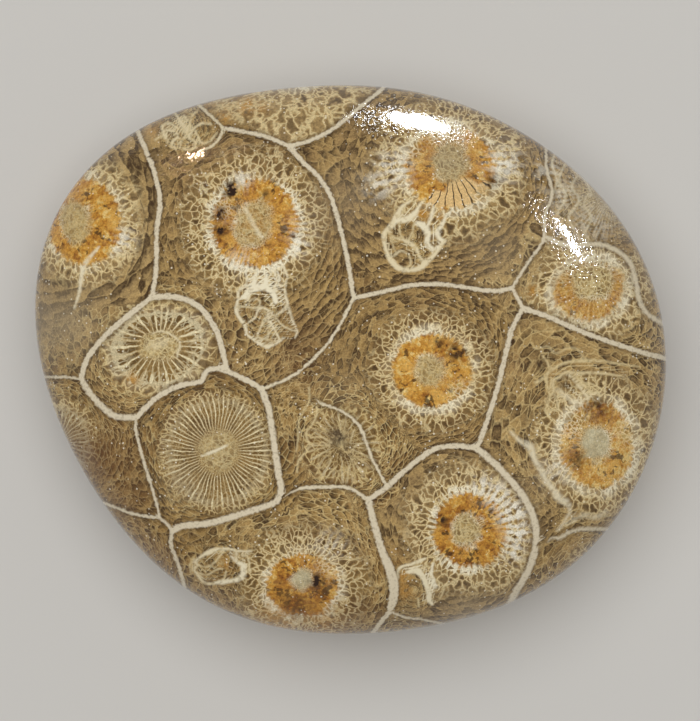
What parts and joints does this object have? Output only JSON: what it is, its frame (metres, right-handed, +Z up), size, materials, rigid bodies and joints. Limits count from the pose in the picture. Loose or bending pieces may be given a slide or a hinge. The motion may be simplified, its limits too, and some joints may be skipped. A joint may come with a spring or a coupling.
{
  "type": "polished fossil coral head",
  "caption": "Palm-size piece of fossil coral, ground and polished into a domed oval stone that rests on a flat base.",
  "frame": {"origin": "middle of the stone's box, at the height of the ground flat that it rests on", "axes": "+Z up out of the dome; +X along the stone's longest extent; +Y across it"},
  "size_m": [0.0698, 0.0608, 0.025],
  "materials": {
    "fossil_coral": "polished"
  },
  "bodies": {
    "root": {"fossil_coral_head": "fossil_coral"}
  },
  "joints": []
}
